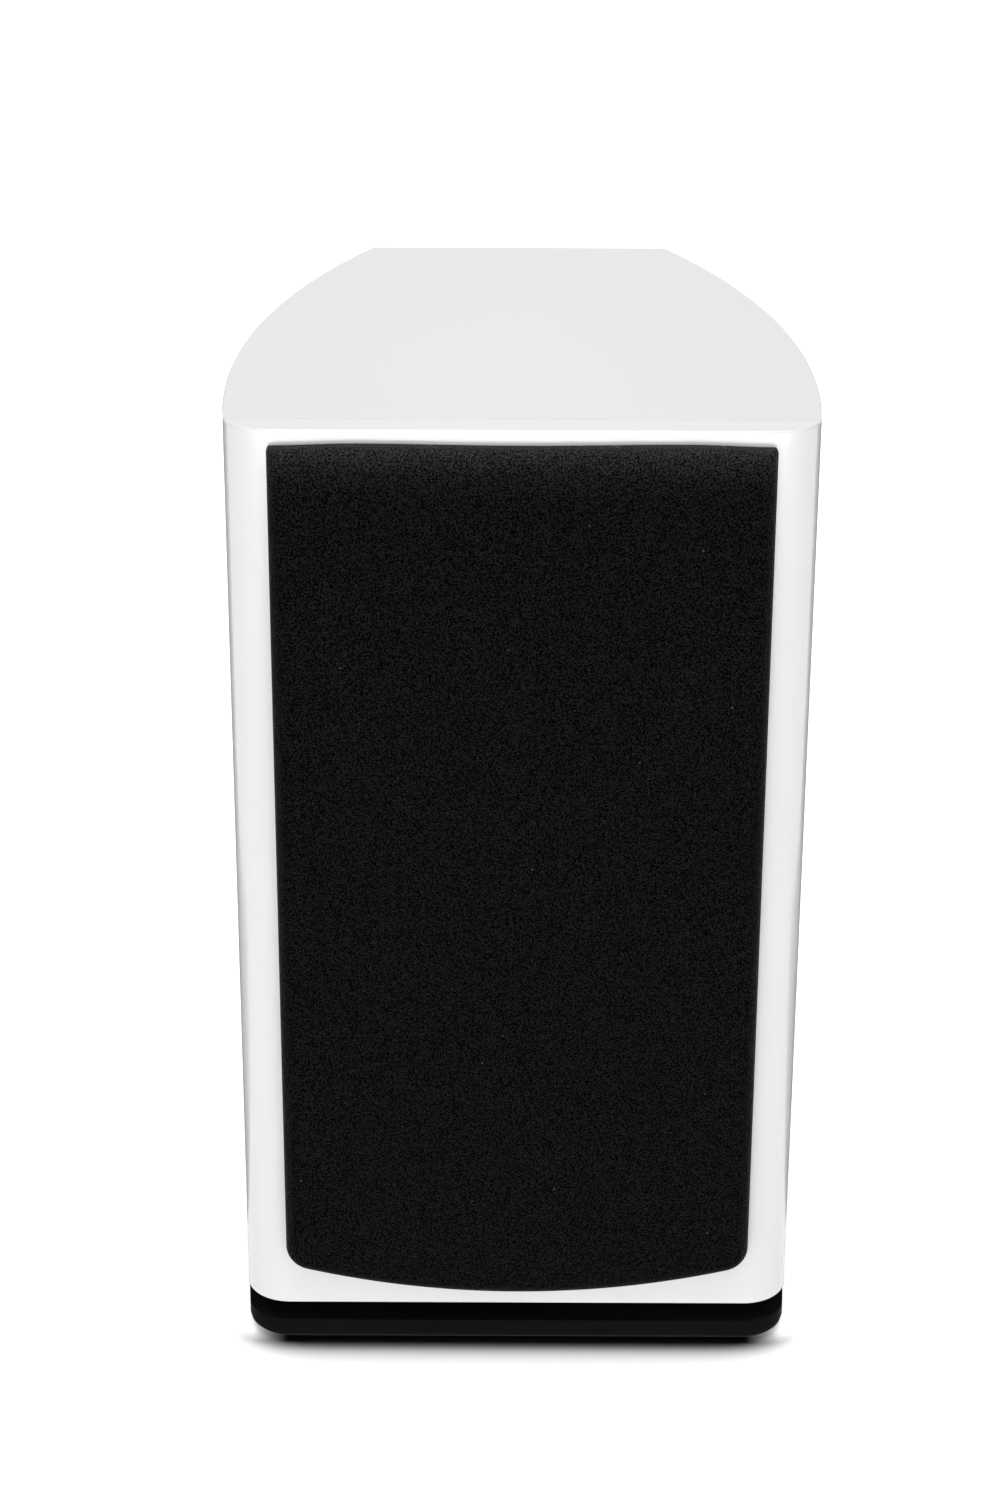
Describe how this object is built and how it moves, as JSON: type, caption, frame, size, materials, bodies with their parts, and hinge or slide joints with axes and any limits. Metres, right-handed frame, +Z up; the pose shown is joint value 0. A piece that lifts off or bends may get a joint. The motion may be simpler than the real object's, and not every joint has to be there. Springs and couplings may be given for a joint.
{
  "type": "bookshelf speaker",
  "caption": "Two-way bookshelf loudspeaker with a tapering boat-tail cabinet, push-on cloth grille, downward port and plinth; the woofer sits above the tweeter.",
  "frame": {"origin": "on the floor under the middle of the part's bounding box", "axes": "+Z up; the grille and the drivers face -Y; the terminals face +Y; +X is to the right as seen from the front"},
  "size_m": [0.22, 0.3076, 0.38],
  "materials": {
    "baffle_lacquer": "fibreboard under smooth white gloss lacquer, a shade lighter than the cabinet, matt black where the grille covers it",
    "cabinet_lacquer": "fibreboard under smooth white gloss lacquer",
    "raw_fibreboard": "bare fibreboard",
    "foam": "soft charcoal foam",
    "black_plastic": "matt black moulded plastic",
    "port_plastic": "satin black moulded plastic",
    "faceplate_plastic": "fine-grained black plastic",
    "plinth_paint": "fibreboard under satin black paint",
    "black_steel": "black oxide steel",
    "rubber": "matt black rubber",
    "cast_aluminium": "cast, painted dark grey",
    "trim_aluminium": "satin turned",
    "woven_cone": "coated woven fibre, dark grey",
    "dust_cap": "coated cloth, black",
    "former_film": "amber film",
    "copper_winding": "enamelled copper wire",
    "spider_cloth": "resin-stiffened corrugated cloth",
    "zinc_steel": "zinc-plated steel",
    "ferrite": "sintered ferrite",
    "brass_tags": "insulating strip with plated tags",
    "silk": "coated black silk",
    "circuit_board": "solder-masked board",
    "nylon": "natural nylon",
    "film_capacitor": "yellow wrapped film",
    "ceramic": "white ceramic",
    "gold_plate": "gold plated",
    "tinned_brass": "tinned",
    "red_knob": "red moulded plastic",
    "black_knob": "black moulded plastic",
    "speaker_cloth": "black woven acoustic cloth",
    "lead_insulation": "stranded lead in plastic insulation"
  },
  "bodies": {
    "cabinet": {"front_baffle": "baffle_lacquer", "side_panel_left": "cabinet_lacquer", "side_panel_right": "cabinet_lacquer", "top_panel": "cabinet_lacquer", "base_panel": "cabinet_lacquer", "rear_panel": "cabinet_lacquer", "window_brace": "raw_fibreboard", "damping_foam": "foam", "grille_sockets": "black_plastic", "plinth": "plinth_paint", "plinth_spacers": "black_plastic", "plinth_bolts": "black_steel", "rubber_feet": "rubber", "port_tube": "port_plastic", "driver_screws": "black_steel", "panel_screws": "black_steel", "woofer_basket": "cast_aluminium", "woofer_trim_ring": "trim_aluminium", "woofer_gasket": "foam", "woofer_top_plate": "zinc_steel", "woofer_magnet": "ferrite", "woofer_yoke": "zinc_steel", "woofer_terminal_strip": "brass_tags", "tweeter_faceplate": "faceplate_plastic", "tweeter_gasket": "foam", "tweeter_top_plate": "zinc_steel", "tweeter_magnet": "ferrite", "tweeter_yoke": "zinc_steel", "tweeter_rear_cup": "black_plastic", "tweeter_terminals": "brass_tags", "crossover_board": "circuit_board", "board_posts": "nylon", "bass_inductor": "copper_winding", "treble_inductor": "copper_winding", "capacitors": "film_capacitor", "resistors": "ceramic", "terminal_plate": "black_plastic", "terminal_gasket": "foam", "binding_posts": "gold_plate", "post_nuts": "gold_plate", "solder_tags": "tinned_brass", "driver_leads": "lead_insulation", "input_leads": "lead_insulation"},
    "woofer_moving_part": {"woofer_cone": "woven_cone", "woofer_surround": "rubber", "woofer_dust_cap": "dust_cap", "woofer_former": "former_film", "woofer_voice_coil": "copper_winding", "woofer_spider": "spider_cloth", "woofer_tinsel_leads": "copper_winding"},
    "tweeter_moving_part": {"tweeter_dome": "silk", "tweeter_surround": "silk", "tweeter_voice_coil": "copper_winding"},
    "grille": {"grille_frame": "black_plastic", "grille_cloth": "speaker_cloth", "grille_pegs": "black_plastic"},
    "washer_positive": {"washer_positive": "gold_plate"},
    "washer_negative": {"washer_negative": "gold_plate"},
    "knob_positive": {"knob_positive": "red_knob"},
    "knob_negative": {"knob_negative": "black_knob"}
  },
  "joints": [
    {"name": "woofer_cone_travel", "type": "slide", "parent": "cabinet", "child": "woofer_moving_part", "axis": [0, -1, 0], "range_m": [-0.003, 0.003], "stiffness_N_per_m": 1000, "deforming": ["woofer_surround", "woofer_spider", "woofer_tinsel_leads"]},
    {"name": "tweeter_dome_travel", "type": "slide", "parent": "cabinet", "child": "tweeter_moving_part", "axis": [0, -1, 0], "range_m": [-0.0004, 0.0004], "stiffness_N_per_m": 5000, "deforming": ["tweeter_surround"]},
    {"name": "grille_pull_off", "type": "slide", "parent": "cabinet", "child": "grille", "axis": [0, -1, 0], "range_m": [0, 0.045]},
    {"name": "washer_positive_slide", "type": "slide", "parent": "cabinet", "child": "washer_positive", "axis": [0, 1, 0], "range_m": [0, 0.005]},
    {"name": "knob_positive_turn", "type": "hinge", "parent": "washer_positive", "child": "knob_positive", "pos_m": [-0.019, 0.14575, 0.107], "axis": [0, 1, 0], "range_deg": [0, 1800]},
    {"name": "washer_negative_slide", "type": "slide", "parent": "cabinet", "child": "washer_negative", "axis": [0, 1, 0], "range_m": [0, 0.005]},
    {"name": "knob_negative_turn", "type": "hinge", "parent": "washer_negative", "child": "knob_negative", "pos_m": [0.019, 0.14575, 0.107], "axis": [0, 1, 0], "range_deg": [0, 1800]}
  ],
  "couplings": [
    {"joint": "knob_positive_turn", "follows": "washer_positive_slide", "rad_per_m": 6283.2},
    {"joint": "knob_negative_turn", "follows": "washer_negative_slide", "rad_per_m": 6283.2}
  ]
}
